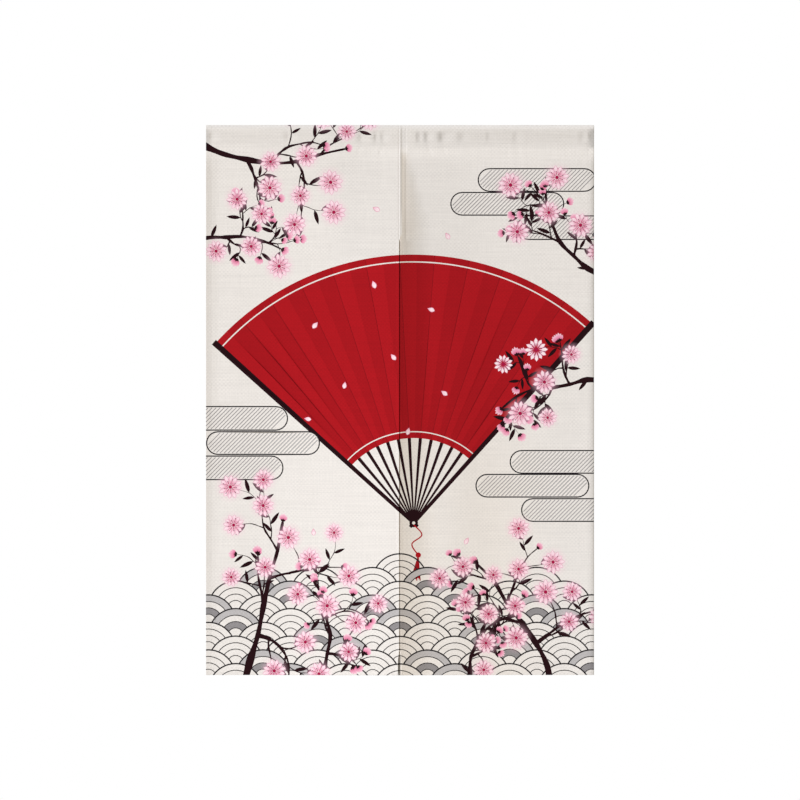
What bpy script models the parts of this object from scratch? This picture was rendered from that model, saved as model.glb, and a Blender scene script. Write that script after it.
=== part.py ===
"""Noren: a split doorway curtain of two cloth panels that hang side by side.

The panels are sewn together for about the top fifth of the drop and hang free
below that, on both sides of a slit. Each panel's top is folded over and stitched
down to a sleeve, and one straight rod goes through both sleeves.

Metres, +Z up. The viewer looks along +Y, so -Y is the front and +X the right.
The origin is the middle of the top edge.
"""

import math

import bmesh
import bpy

# Driving dimensions
WIDTH = 0.85
DROP = 1.20
POCKET_HEIGHT = 0.042
SLIT_TOP = 0.247
CLOTH = 0.0012

# The cloth is folded under along its sides and foot, on the back
HEM_THICKNESS = 0.0024
SIDE_HEM = 0.015
FOOT_HEM = 0.024
HEM_STEP = 0.002

# Clearances between pieces that are sewn or hang edge to edge
SEAM_GAP = 0.0003
SLIT_GAP = 0.0010
SLIT_GAP_AT_FOOT = 0.0030
SLIT_OPENS_OVER = 0.048

# The sleeve, as it stands open for its rod. The hollow's section is a teardrop
POCKET_FRONT = 0.0070
POCKET_BACK = 0.0085
POCKET_FLOOR = 0.0030
POCKET_CREASE = 0.0002
LOW_FULLNESS = 0.45
PROFILE_STEPS = 9
STATION_STEP = 0.018
NEAREST_STATIONS = 0.002

HALF = WIDTH / 2

# The cloth stands out in a ridge along the seam and the slit. Both its sides widen
# downwards like a cone, and the right one is the narrower and steeper of the two
RIDGE_SLOPE = 0.16
RIDGE_REACH = 0.062
RIDGE_REACH_AT_TOP = 0.012
RIDGE_LEFT_SIDE = 3.2
RIDGE_START = -0.042
RIDGE_FULL = -0.205
RIDGE_AT_FOOT = 0.80
RIDGE_LEAVES_TOP_OVER = 0.027
CREASE_POWER = 1.5

# Broad soft folds, each a bell across the width. Columns: middle x, reach to the
# left, reach to the right, rise towards the viewer, height where it starts, height
# where it is full, share of the rise left at the foot
FOLDS = (
    (0.000, 0.420, 0.420, 0.0060, -0.040, -0.420, 1.00),
    (0.000, 0.180, 0.260, 0.0035, -0.040, -0.300, 1.00),
    (-0.290, 0.090, 0.110, -0.0016, -0.160, -0.700, 2.00),
    (-0.140, 0.060, 0.080, 0.0010, -0.240, -0.800, 2.20),
    (0.190, 0.080, 0.090, -0.0020, -0.120, -0.600, 1.80),
    (0.325, 0.070, 0.070, 0.0014, -0.200, -0.800, 2.00),
)

# Side edges that turn out of the plane. Columns: side, reach inwards, rise at the
# edge, height where it starts, height where it is full, share left at the foot
EDGE_TURNS = (
    (-1, 0.022, 0.0032, -0.044, -0.095, 0.35),
    (1, 0.009, -0.0024, -0.044, -0.110, 0.80),
)

# Puckers in the front of the sleeve, where the stitching draws the cloth in. They
# end below the sleeve's round top, and their right sides are the longer and softer
# ones. Columns: middle x, reach to the left, depth
PUCKER_TOP = 0.80
PUCKER_RIGHT_SIDE = 2.2
PUCKERS = (
    (-0.4125, 0.0095, 0.0018),
    (-0.2490, 0.0100, 0.0013),
    (-0.1880, 0.0100, 0.0007),
    (-0.0855, 0.0095, 0.0011),
    (-0.0520, 0.0090, 0.0018),
    (-0.0370, 0.0085, 0.0016),
    (0.0430, 0.0095, 0.0018),
    (0.0610, 0.0090, 0.0019),
    (0.0940, 0.0100, 0.0021),
    (0.1375, 0.0100, 0.0009),
    (0.1945, 0.0095, 0.0009),
    (0.2555, 0.0095, 0.0013),
    (0.3990, 0.0090, 0.0011),
    (0.4190, 0.0090, 0.0018),
)

# Grid lines of a panel, as distances from its inner edge or down from the top
INNER_LINES = (0.0, 0.005, 0.028, 0.042, 0.058, 0.080)
OUTER_LINES = (0.0, 0.005, 0.009, 0.026)
PANEL_STEP = 0.040
TOP_LINES = (0.050, 0.062, 0.080, 0.105, 0.140, 0.180, 0.215)
BELOW_SEAM = 0.012
ROW_STEP = 0.072

CREAM = (0.79, 0.75, 0.71, 1.0)
CREAM_SHADE = (0.75, 0.71, 0.67, 1.0)
ROUGHNESS = 0.9


def clear_scene():
    for obj in list(bpy.data.objects):
        bpy.data.objects.remove(obj)


def cloth_material(name, colour):
    material = bpy.data.materials.new(name)
    material.use_nodes = True
    shader = material.node_tree.nodes["Principled BSDF"]
    shader.inputs["Base Color"].default_value = colour
    shader.inputs["Roughness"].default_value = ROUGHNESS
    shader.inputs["Metallic"].default_value = 0.0
    return material


def add_object(name, bm, material):
    """Stores the mesh as an object of that name, shaded smooth but for its rims."""
    mesh = bpy.data.meshes.new(name)
    bm.to_mesh(mesh)
    bm.free()
    mesh.shade_smooth()
    mesh.set_sharp_from_angle(angle=math.radians(40))
    mesh.materials.append(material)
    obj = bpy.data.objects.new(name, mesh)
    bpy.context.scene.collection.objects.link(obj)
    return obj


def ease(t):
    """0 to 1 with level ends, for t from 0 to 1."""
    t = min(1.0, max(0.0, t))
    return t * t * (3.0 - 2.0 * t)


def bell(distance, left, right):
    """1 at the middle and 0 at its reach, which differs to the left and right."""
    share = abs(distance) / (left if distance < 0 else right)
    return 0.5 * (1.0 + math.cos(math.pi * share)) if share < 1.0 else 0.0


def crease(distance, reach):
    """1 at a sharp crest, falling in a soft curve to 0 at its reach."""
    return max(0.0, 1.0 - abs(distance) / reach) ** CREASE_POWER


def size_at(z, start, full, at_foot):
    """Share of a fold's size at height z: it grows from start to full, then fades."""
    down = max(0.0, (full - z) / (full + DROP))
    return ease((start - z) / (start - full)) * (1.0 + (at_foot - 1.0) * down)


def ridge(x, z):
    """Rise of the ridge that runs down the seam and the slit."""
    grown = min(1.0, (RIDGE_START - z) / (RIDGE_START - RIDGE_FULL))
    reach = RIDGE_REACH_AT_TOP + (RIDGE_REACH - RIDGE_REACH_AT_TOP) * grown
    top_end = RIDGE_START - RIDGE_LEAVES_TOP_OVER
    rise = RIDGE_SLOPE * reach * size_at(z, RIDGE_START, top_end, RIDGE_AT_FOOT)
    return rise * crease(x, reach * RIDGE_LEFT_SIDE if x < 0 else reach)


def cloth_front(x, z):
    """Y of the hanging cloth's front face."""
    rise = ridge(x, z)
    for middle, left, right, height, start, full, at_foot in FOLDS:
        rise += height * bell(x - middle, left, right) * size_at(z, start, full, at_foot)
    for side, reach, height, start, full, at_foot in EDGE_TURNS:
        rise += height * crease(x - side * HALF, reach) * size_at(z, start, full, at_foot)
    return -CLOTH - rise


def inner_edge(z):
    """Distance of a panel's inner edge from the middle, at height z."""
    if z >= -SLIT_TOP:
        return SEAM_GAP / 2
    below = -SLIT_TOP - z
    gap = SLIT_GAP + (SLIT_GAP_AT_FOOT - SLIT_GAP) * below / (DROP - SLIT_TOP)
    return (SEAM_GAP + gap * ease(below / SLIT_OPENS_OVER)) / 2


def between(start, end, step):
    """Evenly spaced values inside a stretch, without its two ends."""
    count = max(1, round((end - start) / step))
    return [start + (end - start) * k / count for k in range(1, count)]


def panel_columns():
    """Grid lines across a panel as shares of its width, from inner to outer edge."""
    near = list(INNER_LINES) + [SIDE_HEM, SIDE_HEM + HEM_STEP]
    far = [HALF - d for d in (*OUTER_LINES, SIDE_HEM, SIDE_HEM + HEM_STEP)]
    lines = near + between(max(near), min(far), PANEL_STEP) + far
    return [line / HALF for line in sorted(lines)]


def panel_rows():
    """Heights of the grid lines down a panel, from the stitching to the foot."""
    first = POCKET_HEIGHT + SEAM_GAP
    hem_top = DROP - FOOT_HEM
    rows = [first, *TOP_LINES, SLIT_TOP, SLIT_TOP + BELOW_SEAM]
    rows += between(rows[-1], hem_top - HEM_STEP, ROW_STEP)
    rows += [hem_top - HEM_STEP, hem_top, DROP]
    return [-row for row in rows]


def thickness_at(distance_to_side, z):
    """The cloth is thicker where its sides and its foot are folded under."""
    in_side = distance_to_side < SIDE_HEM + HEM_STEP / 2
    in_foot = z < -(DROP - FOOT_HEM - HEM_STEP / 2)
    return HEM_THICKNESS if in_side or in_foot else CLOTH


def border(grid):
    """The points round the edge of a grid, in order."""
    right = [row[-1] for row in grid[1:-1]]
    left = [row[0] for row in grid[1:-1]]
    return grid[0] + right + grid[-1][::-1] + left[::-1]


def add_panel(name, side, material):
    """One hanging panel: side is -1 for the left one and 1 for the right one.

    Its front follows the folds, and its thickness goes straight back, so that the
    two panels' inner edges stay side by side.
    """
    bm = bmesh.new()
    front, back = [], []
    for z in panel_rows():
        inner = inner_edge(z)
        front.append([])
        back.append([])
        for share in panel_columns():
            x = side * (inner + share * (HALF - inner))
            y = cloth_front(x, z)
            thickness = thickness_at(min(share, 1.0 - share) * HALF, z)
            front[-1].append(bm.verts.new((x, y, z)))
            back[-1].append(bm.verts.new((x, y + thickness, z)))
    for grid in (front, back):
        for upper, lower in zip(grid, grid[1:]):
            for k in range(len(upper) - 1):
                bm.faces.new((upper[k], lower[k], lower[k + 1], upper[k + 1]))
    near, far = border(front), border(back)
    for k in range(len(near)):
        bm.faces.new((near[k - 1], near[k], far[k], far[k - 1]))
    bmesh.ops.recalc_face_normals(bm, faces=bm.faces)
    return add_object(name, bm, material)


def pucker(x, rise):
    """How far the sleeve's front is drawn in at x, at a share of its height."""
    drawn = 0.0
    for middle, reach, depth in PUCKERS:
        drawn += depth * bell(x - middle, reach, reach * PUCKER_RIGHT_SIDE)
    return drawn * math.sin(math.pi * min(1.0, rise / PUCKER_TOP)) ** 2


def sleeve_profile(x):
    """The sleeve's section at x as (outer loop, inner loop) of (y, z) points.

    Both loops start at the stitching in front, go up over the top and come down
    the back. The hollow is a teardrop: closed at the stitching, round at the top.
    """
    hollow_height = POCKET_HEIGHT - POCKET_FLOOR - CLOTH
    inner = []
    for k in range(PROFILE_STEPS + 1):
        turn = math.pi * k / PROFILE_STEPS
        rise = (1.0 - math.cos(turn)) / 2
        bulge = math.sin(turn) * (LOW_FULLNESS + (1.0 - LOW_FULLNESS) * rise)
        inner.append((bulge, rise, -POCKET_HEIGHT + POCKET_FLOOR + hollow_height * rise))

    front = [(-POCKET_CREASE - POCKET_FRONT * b + pucker(x, r), z) for b, r, z in inner]
    back = [(POCKET_CREASE + POCKET_BACK * b, z) for b, r, z in inner]
    top = (0.0, -CLOTH)
    inner_loop = front[:-1] + [top] + back[-2::-1]

    outer_loop = []
    last = len(inner_loop) - 1
    for k, (y, z) in enumerate(inner_loop):
        before, after = inner_loop[max(k - 1, 0)], inner_loop[min(k + 1, last)]
        along = (after[0] - before[0], after[1] - before[1])
        length = math.hypot(*along)
        outer_loop.append((y - CLOTH * along[1] / length, z + CLOTH * along[0] / length))
    outer_loop[0] = (-CLOTH, -POCKET_HEIGHT)
    outer_loop[last] = (CLOTH, -POCKET_HEIGHT)
    return outer_loop, inner_loop


def sleeve_stations(start, end):
    """Places along the sleeve where its section is drawn, closer at the puckers."""
    found = set(between(start, end, STATION_STEP))
    for middle, reach, depth in PUCKERS:
        found |= {middle + reach * share for share in (-1.0, -0.5, 0.0)}
        right = reach * PUCKER_RIGHT_SIDE
        found |= {middle + right * share for share in (0.3, 0.6, 1.0)}
    kept = [start]
    for x in sorted(found):
        if x - kept[-1] > NEAREST_STATIONS and end - x > NEAREST_STATIONS:
            kept.append(x)
    return [*kept, end]


def add_sleeve(name, side, material):
    """One panel's rod sleeve: an open tube along X, lofted through its sections."""
    ends = sorted((side * SEAM_GAP / 2, side * HALF))
    bm = bmesh.new()
    tube = []
    for x in sleeve_stations(*ends):
        loops = sleeve_profile(x)
        tube.append([[bm.verts.new((x, y, z)) for y, z in loop] for loop in loops])
    count = len(tube[0][0])
    for here, there in zip(tube, tube[1:]):
        for k in range(count):
            n = (k + 1) % count
            bm.faces.new((here[0][k], here[0][n], there[0][n], there[0][k]))
            bm.faces.new((here[1][n], here[1][k], there[1][k], there[1][n]))
    for k in range(count):
        n = (k + 1) % count
        (outer, inner), (outer_end, inner_end) = tube[0], tube[-1]
        bm.faces.new((outer[n], outer[k], inner[k], inner[n]))
        bm.faces.new((outer_end[k], outer_end[n], inner_end[n], inner_end[k]))
    bmesh.ops.recalc_face_normals(bm, faces=bm.faces)
    return add_object(name, bm, material)


def main():
    clear_scene()
    for name, side in (("left", -1), ("right", 1)):
        add_panel(f"{name}_panel", side, cloth_material(f"{name}_panel_cloth", CREAM))
        add_sleeve(f"{name}_heading", side, cloth_material(f"{name}_heading_cloth", CREAM_SHADE))


main()
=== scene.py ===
"""The look of a hanging noren: printed plain-weave cloth with its hems and stitches.

Flat cloth coordinates are (x, w): x runs across in metres, and w runs up the cloth.
From the foot to the sleeve's crest, w is the height, from -DROP to 0. Past the crest
it goes on down the back of the sleeve, to its stitching at +SLEEVE. Below the sleeve,
the left panel laps over the right one by a few millimetres.
"""

import math
import random

import bpy
import numpy as np
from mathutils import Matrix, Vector
from mathutils.bvhtree import BVHTree
from mathutils.geometry import delaunay_2d_cdt


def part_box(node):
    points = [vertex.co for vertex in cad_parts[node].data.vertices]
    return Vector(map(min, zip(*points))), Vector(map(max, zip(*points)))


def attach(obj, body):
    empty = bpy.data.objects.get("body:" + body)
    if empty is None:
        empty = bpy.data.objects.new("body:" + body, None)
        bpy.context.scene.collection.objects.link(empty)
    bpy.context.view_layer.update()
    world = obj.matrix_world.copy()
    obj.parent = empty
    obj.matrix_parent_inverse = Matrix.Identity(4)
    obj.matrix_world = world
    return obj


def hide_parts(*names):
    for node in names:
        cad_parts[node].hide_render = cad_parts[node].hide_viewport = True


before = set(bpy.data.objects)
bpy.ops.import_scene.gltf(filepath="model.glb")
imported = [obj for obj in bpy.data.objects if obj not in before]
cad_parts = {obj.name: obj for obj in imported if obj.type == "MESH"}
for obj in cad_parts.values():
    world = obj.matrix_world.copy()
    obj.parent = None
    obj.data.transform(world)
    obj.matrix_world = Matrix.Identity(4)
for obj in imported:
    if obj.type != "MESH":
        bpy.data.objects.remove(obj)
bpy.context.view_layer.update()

# Sizes of the curtain, read from the frame
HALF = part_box("right_panel")[1].x
DROP = -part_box("left_panel")[0].z
SLEEVE = -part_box("left_heading")[0].z

# Share of the flat width that the cloth takes up as it hangs
HANG_WIDTH = 0.996

# Where the printed side lies, how thick the cloth and its folded hems are, how wide the
# hems are, and how far and deep the folded edges are rounded
FACE_FROM_CENTRE = 0.0012
CLOTH = 0.0007
HEM = 0.0018
SIDE_HEM = 0.015
FOOT_HEM = 0.024
SLEEVE_HEM = 0.007
SLEEVE_HEM_SHARE = 0.4
HEM_STEP = 0.0012
INNER_ROUND = (0.001, 0.0008)
OUTER_ROUND = (0.002, 0.0008)
FOOT_ROUND = (0.0024, 0.0008)
END_ROUND = (0.0008, 0.0003)

# The lap: where the left panel ends, above the foot and at it, and the height over which
# that changes; how far the right panel goes on under it, and how this starts below the
# sleeve; then the seam's end, and the dark crevice between the panels below it
LAP_LINE = -0.0016
LAP_AT_FOOT = -0.0042
NEAR_FOOT = 0.053
NEAR_FOOT_FADE = 0.022
LAP = 0.0056
LAP_START = 0.006
LAP_CLEARANCE = 0.0002
LAP_SNAP = 0.00005
SEAM_GAP = 0.00006
SEAM_END = -0.2525
SEAM_END_REACH = 0.005
CREVICE_DEPTH = 0.0042
CREVICE_FLOOR = 0.001
CREVICE_REACH = 0.0026
CREVICE_AT_FOOT = 3.0
SLIT_CURL = (0.01, 0.0005)

# The seam's valley and the stitches on its two sides
VALLEY_X = 0.0052
VALLEY_DEPTH = 0.0009
VALLEY_LEFT = 0.0046
VALLEY_RIGHT = 0.012
VALLEY_FADES = (-0.165, -0.235)
CREST_FADE = 0.009
SEAM_STITCH = {-1: -0.0027, 1: 0.0126}
SEAM_GROOVE_DEPTH = {-1: 0.00056, 1: 0.0002}

# The creased facet right of the seam and the slit: reach at the top, where it is full
# and at the foot, the heights of the first two, its slope, and its painted warm shade;
# then a fainter patch of painted warm shade below: middle x, reaches, start, full, share;
# then the cool painted shade at the crest, and how far from the crest it reaches
FACET_REACH = (0.01, 0.036, 0.16)
FACET_HEIGHTS = (-0.046, -0.165)
FACET_SLOPE = 0.04
FACET_LENGTH = 0.03
FACET_SHIFTS_OVER = 0.02
FACET_STRENGTHENS = 4.0
WARM_PAINTED_SHADE = (0.038, 0.078, 0.135)
LOW_PAINTED_SHADE = (0.2, 0.22, 0.17, -0.45, -0.85, 0.5)
CREST_PAINTED_SHADE = (0.06, 0.045, 0.02)
CREST_REACH = 0.0085

# Strips of shade: top and bottom, how softly they end, and pairs of x and share. They
# are the sleeve, the middle of the panels below it, and the right panel
STRIP_SHADES = (
    (-0.008, -0.05, 0.007, (
        (-0.425, 0.23), (-0.4215, 0.21), (-0.419, 0.03), (-0.002, 0.04), (0.003, 0.13),
        (0.01, 0.11), (0.016, 0.03), (0.034, 0.06), (0.11, 0.075), (0.405, 0.075),
        (0.4118, 0.11), (0.4162, 0.22), (0.4195, 0.24), (0.4212, 0.36), (0.425, 0.34),
    )),
    (-0.075, -0.3, 0.03, (
        (-0.19, 0.0), (-0.11, 0.065), (-0.0016, 0.065), (0.0, 0.0), (0.003, 0.0), (0.007, 0.07),
        (0.013, 0.135), (0.019, 0.115), (0.03, 0.07), (0.12, 0.04), (0.2, 0.0),
    )),
    (-0.075, -1.3, 0.03, (
        (0.02, 0.0), (0.1, 0.025), (0.25, 0.04), (0.4095, 0.05), (0.414, 0.09),
        (0.4195, 0.1), (0.4215, 0.17), (0.425, 0.15),
    )),
)

# Painted shade on the cloth beside the lap near the foot, where the crevice opens: how
# dark, how wide, and the share of that width over which it softens
FOOT_GAP_SHADE = 0.58
FOOT_GAP = 0.0072
FOOT_GAP_SOFT = 0.4

# Stitching: how far each line runs from the edge it follows, and its groove
OUTER_STITCH = 0.0125
INNER_STITCH = 0.008
FOOT_STITCH = 0.0215
SLEEVE_STITCH = 0.001
GROOVE_WIDTH = 0.0008
GROOVE_DEPTH = 0.00007
SLEEVE_GROOVE_DEPTH = 0.00008
STITCH_PITCH = 0.0027
STITCH_LENGTH = 0.0021
THREAD_WIDTH = 0.00042

# The sleeve's section is a teardrop, its front fullest near the crest and fuller on
# the right: x and depth of the front, depth of the back, and how high each is fullest
SLEEVE_FRONT = ((-0.425, 0.003), (0.03, 0.0034), (0.09, 0.005), (0.2, 0.0058), (0.425, 0.0054))
FRONT_POWER = 1.8
SLEEVE_BACK = 0.007
BACK_POWER = 1.0

# The ridge beside the seam and the slit
RIDGE_SLOPE = 0.16
RIDGE_REACH = 0.062
RIDGE_REACH_AT_TOP = 0.012
RIDGE_LEFT_SIDE = 4.4
RIDGE_START = -0.042
RIDGE_FULL = -0.205
RIDGE_AT_FOOT = 0.8
RIDGE_LEAVES_TOP_OVER = 0.027
CREASE_POWER = 1.5

# Broad folds: middle x, reach left, reach right, rise, start, full, share at foot
FOLDS = (
    (0.0, 0.42, 0.42, 0.006, -0.04, -0.42, 1.0),
    (0.0, 0.18, 0.26, 0.0035, -0.04, -0.3, 1.0),
    (-0.29, 0.09, 0.11, -0.0014, -0.16, -0.7, 1.2),
    (-0.14, 0.06, 0.08, 0.0008, -0.24, -0.8, 1.2),
    (0.19, 0.08, 0.09, -0.0014, -0.12, -0.6, 0.6),
    (0.325, 0.07, 0.07, 0.0008, -0.2, -0.8, 0.6),
)

# Turned side edges: side, reach inwards, rise, start, full, share at foot
EDGE_TURNS = (
    (-1, 0.026, 0.0026, -0.046, -0.095, 0.55),
    (-1, 0.007, 0.0004, -0.046, -0.08, 0.8),
    (1, 0.005, -0.0008, -0.044, -0.11, 0.8),
)

# Puckers in the sleeve: their share of its height, lean and longer side, and the rows of
# their shade; then for each its middle x, reach, depth and shade
PUCKER_TOP = 0.8
PUCKER_LEAN = 0.45
PUCKER_RIGHT_SIDE = 2.4
PUCKER_SHADE_ROWS = (-0.011, -0.053)
PUCKER_SHADE_FADES = (0.01, 0.022)
PUCKERS = (
    (-0.4165, 0.009, 0.0011, 0.08),
    (-0.25, 0.009, 0.0008, 0.03),
    (-0.189, 0.009, 0.0004, 0.02),
    (-0.09, 0.009, 0.0008, 0.08),
    (-0.056, 0.0085, 0.0012, 0.12),
    (-0.0405, 0.008, 0.0012, 0.1),
    (0.0385, 0.0075, 0.0013, 0.13),
    (0.055, 0.0085, 0.0015, 0.17),
    (0.088, 0.012, 0.0018, 0.13),
    (0.1305, 0.011, 0.0008, 0.06),
    (0.1915, 0.008, 0.0006, 0.05),
    (0.25, 0.009, 0.0008, 0.04),
    (0.395, 0.009, 0.0007, 0.04),
    (0.415, 0.009, 0.0011, 0.08),
)

# Drag lines below the stitching: top x, foot x, foot height, half width, depth; then how
# they grow and fade on the way down
DRAG_LINES = (
    (-0.036, -0.062, -0.105, 0.0055, 0.0005),
    (-0.086, -0.1, -0.088, 0.006, 0.0003),
    (0.061, 0.078, -0.1, 0.006, 0.0004),
    (0.094, 0.104, -0.086, 0.006, 0.0003),
    (-0.249, -0.244, -0.09, 0.007, 0.0003),
    (0.256, 0.262, -0.085, 0.007, 0.00025),
)
DRAG_GAIN = 1.4
DRAG_START = 0.25
DRAG_POWER = 1.2

# Small ripples where thread draws the cloth in: phase, wavelength, height, reach; then
# the share of the seam's ripple that is left in the slit
STITCH_RIPPLE = (0.7, 0.0135, 0.00005, 0.012)
SEAM_RIPPLE = (1.9, 0.0165, 0.00014, 0.01)
RIPPLE_IN_SLIT = 0.25

# Spacing of the mesh: on the panels, round the sleeve, along lines and along the seam;
# then the rows from the crest to the stitching
GRID = 0.014
SLEEVE_GRID = 0.0048
SLEEVE_GRID_FROM = -SLEEVE - 0.03
LINE_STEP = 0.012
SEWN_STEP = 0.0042
SLEEVE_ROWS = 14


def srgb(red, green, blue):
    """A colour given as it shows on screen, 0 to 255, as linear RGB."""
    def linear(value):
        value /= 255.0
        return value / 12.92 if value <= 0.04045 else ((value + 0.055) / 1.055) ** 2.4
    return np.array([linear(red), linear(green), linear(blue)])


CREAM = srgb(228, 221, 213)
RED = srgb(168, 18, 26)
RED_SHADE = srgb(160, 16, 24)
RED_LINE = srgb(130, 12, 20)
BARK = srgb(34, 8, 13)
INK = srgb(34, 30, 32)
GREY = srgb(142, 137, 136)
PALE_GREY = srgb(184, 179, 176)
CRIMSON = srgb(160, 22, 66)
PINK = srgb(226, 132, 162)
PALE_PINK = srgb(244, 208, 216)
PETAL_TIP = srgb(248, 234, 230)

# How much of the print shows through on the wrong side, and how light that side is
GHOST = 0.2
WRONG_SIDE = 0.97


# Form of the hanging cloth

def ease(t):
    t = np.clip(t, 0.0, 1.0)
    return t * t * (3.0 - 2.0 * t)


def bell(distance, left, right):
    share = np.abs(distance) / np.where(distance < 0, left, right)
    return 0.5 * (1.0 + np.cos(np.pi * np.minimum(share, 1.0)))


def crease(distance, reach):
    return np.maximum(0.0, 1.0 - np.abs(distance) / reach) ** CREASE_POWER


def rounding(distance, reach, depth):
    """How far a rounded fold falls back from its edge. It stops just short of upright."""
    share = np.clip(1.0 - distance / reach, 0.0, 1.0)
    return depth * (1.0 - np.sqrt(1.0 - 0.995 * share**2))


def size_at(z, start, full, at_foot):
    """How large a fold is at a height."""
    down = np.maximum(0.0, (full - z) / (full + DROP))
    return ease((start - z) / (start - full)) * (1.0 + (at_foot - 1.0) * down)


def ridge(x, z):
    """Rise of the ridge beside the seam and the slit."""
    grown = np.clip((RIDGE_START - z) / (RIDGE_START - RIDGE_FULL), 0.0, 1.0)
    reach = RIDGE_REACH_AT_TOP + (RIDGE_REACH - RIDGE_REACH_AT_TOP) * grown
    top_end = RIDGE_START - RIDGE_LEAVES_TOP_OVER
    rise = RIDGE_SLOPE * reach * size_at(z, RIDGE_START, top_end, RIDGE_AT_FOOT)
    return rise * crease(x, np.where(x < 0, reach * RIDGE_LEFT_SIDE, reach))


def facet(x, z):
    """The share of the creased facet at a point: 1 beside the seam, 0 at its far side,
    and how far across it the point lies."""
    top, full = FACET_HEIGHTS
    narrow, wide, at_foot = FACET_REACH
    grown = np.clip((top - z) / (top - full), 0.0, 1.0)
    down = np.clip((full - z) / (full + DROP), 0.0, 1.0)
    reach = narrow + (wide - narrow) * grown + (at_foot - wide) * down
    start = LAP_LINE + (VALLEY_X - LAP_LINE) * ease((z - SEAM_END) / FACET_SHIFTS_OVER)
    across = np.clip((x - start) / reach, 0.0, 1.0)
    strength = ease(FACET_STRENGTHENS * grown)
    return np.where(x > start, 1.0 - across, 0.0) * strength, across * reach * strength


def facet_fall(across):
    """Distance fallen over a facet that eases out: steep first, then level."""
    return FACET_LENGTH * (1.0 - np.exp(-across / FACET_LENGTH))


def valley(x, w):
    """The share of the seam's valley at a point."""
    start, end = VALLEY_FADES
    beside = x - VALLEY_X
    share = ease((w - end) / (start - end)) * ease(-w / CREST_FADE)
    return crease(beside, np.where(beside < 0.0, VALLEY_LEFT, VALLEY_RIGHT)) * share


def ripple(along, phase, wavelength):
    """An uneven wave of height 1 along a line of stitches."""
    turn = 2.0 * np.pi * along / wavelength
    return 0.6 * np.sin(turn + phase) + 0.4 * np.sin(turn * 0.57 + 2.3 * phase + np.sin(turn * 0.13))


def small_relief(x, z):
    """Rise of the drag lines and of the ripples along the sewing."""
    rise = np.zeros_like(x)
    for top, foot, low, half, depth in DRAG_LINES:
        share = (-SLEEVE - z) / (-SLEEVE - low)
        inside = (share > 0.0) & (share < 1.0)
        middle = top + (foot - top) * share
        fade = DRAG_GAIN * ease(share / DRAG_START) * np.clip(1.0 - share, 0.0, 1.0) ** DRAG_POWER
        rise -= np.where(inside, depth * fade * bell(x - middle, half, half), 0.0)
    phase, length, height, reach = STITCH_RIPPLE
    rise += height * ripple(x, phase, length) * np.exp(-(-SLEEVE - z) / reach)
    phase, length, height, reach = SEAM_RIPPLE
    share = RIPPLE_IN_SLIT + (1.0 - RIPPLE_IN_SLIT) * sewn_at(z)
    rise += height * ripple(z, phase, length) * np.exp(-np.abs(x) / reach) * share
    return rise


def plump(rise, power):
    """Section of one side of the sleeve, 1 where it is fullest."""
    peak = power / (power + 0.5)
    return rise**power * np.sqrt(1.0 - rise) / (peak**power * math.sqrt(1.0 - peak))


def pucker(x, rise):
    """How far the sleeve's front is drawn in."""
    drawn = 0.0
    for middle, reach, depth, _ in PUCKERS:
        drawn = drawn + depth * bell(x - middle - PUCKER_LEAN * reach, reach, reach * PUCKER_RIGHT_SIDE)
    return drawn * np.sin(np.pi * np.minimum(1.0, rise / PUCKER_TOP)) ** 2


def pucker_shade(x, w):
    """How much the creases of the puckers darken the cloth."""
    shade = sum(share * bell(x - middle, reach, reach) for middle, reach, _, share in PUCKERS)
    start, end = PUCKER_SHADE_ROWS
    start_fade, end_fade = PUCKER_SHADE_FADES
    return shade * ease((start - w) / start_fade) * ease((w - end) / end_fade)


def panel_face(x, z):
    """Y of the panel's printed side."""
    rise = ridge(x, z) + small_relief(x, z) - FACET_SLOPE * facet_fall(facet(x, z)[1])
    for middle, left, right, height, start, full, at_foot in FOLDS:
        rise = rise + height * bell(x - middle, left, right) * size_at(z, start, full, at_foot)
    for side, reach, height, start, full, at_foot in EDGE_TURNS:
        rise = rise + height * crease(x - side * HALF, reach) * size_at(z, start, full, at_foot)
    return -FACE_FROM_CENTRE - rise


def skin(x, w):
    """Points of the printed side, before hems, laps and grooves."""
    rise = np.clip(1.0 - np.abs(w) / SLEEVE, 0.0, 1.0)
    seat = FACE_FROM_CENTRE * np.sqrt(1.0 - rise)
    fullness = np.interp(x, *zip(*SLEEVE_FRONT))
    front = -seat - fullness * plump(rise, FRONT_POWER) + pucker(x, rise)
    back = seat + SLEEVE_BACK * plump(rise, BACK_POWER)
    panel = panel_face(x, np.minimum(w, -SLEEVE))
    y = np.where(w < -SLEEVE, panel, np.where(w < 0, front, back))
    return np.stack([x * HANG_WIDTH, y, -np.abs(w)], axis=-1)


def into_cloth(w):
    """Unit vectors to the wrong side: level on the panel, and on the sleeve square to its
    section at a place without puckers."""
    step = 2e-5
    place = np.zeros_like(w) + 0.3
    lower = skin(place, w - step)
    upper = skin(place, w + step)
    along = upper - lower
    length = np.hypot(along[:, 1], along[:, 2])
    inward = np.stack([0 * w, along[:, 2] / length, -along[:, 1] / length], axis=-1)
    level = np.array([0.0, 1.0, 0.0])
    return np.where((w < -SLEEVE)[:, None], level, inward)


def sewn_at(w):
    """1 where the panels are sewn together and 0 in the slit."""
    return ease((w - SEAM_END) / SEAM_END_REACH + 0.5)


def near_foot(w):
    """1 at the foot and 0 above it."""
    return ease((-DROP + NEAR_FOOT - w) / NEAR_FOOT_FADE)


def lap_line(w):
    """X of the left panel's inner edge."""
    return LAP_LINE + (LAP_AT_FOOT - LAP_LINE) * near_foot(np.asarray(w, dtype=float))


def hemmed(distance, hem):
    """1 on a folded hem, 0 past it."""
    return ease((hem + HEM_STEP - distance) / HEM_STEP)


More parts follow.
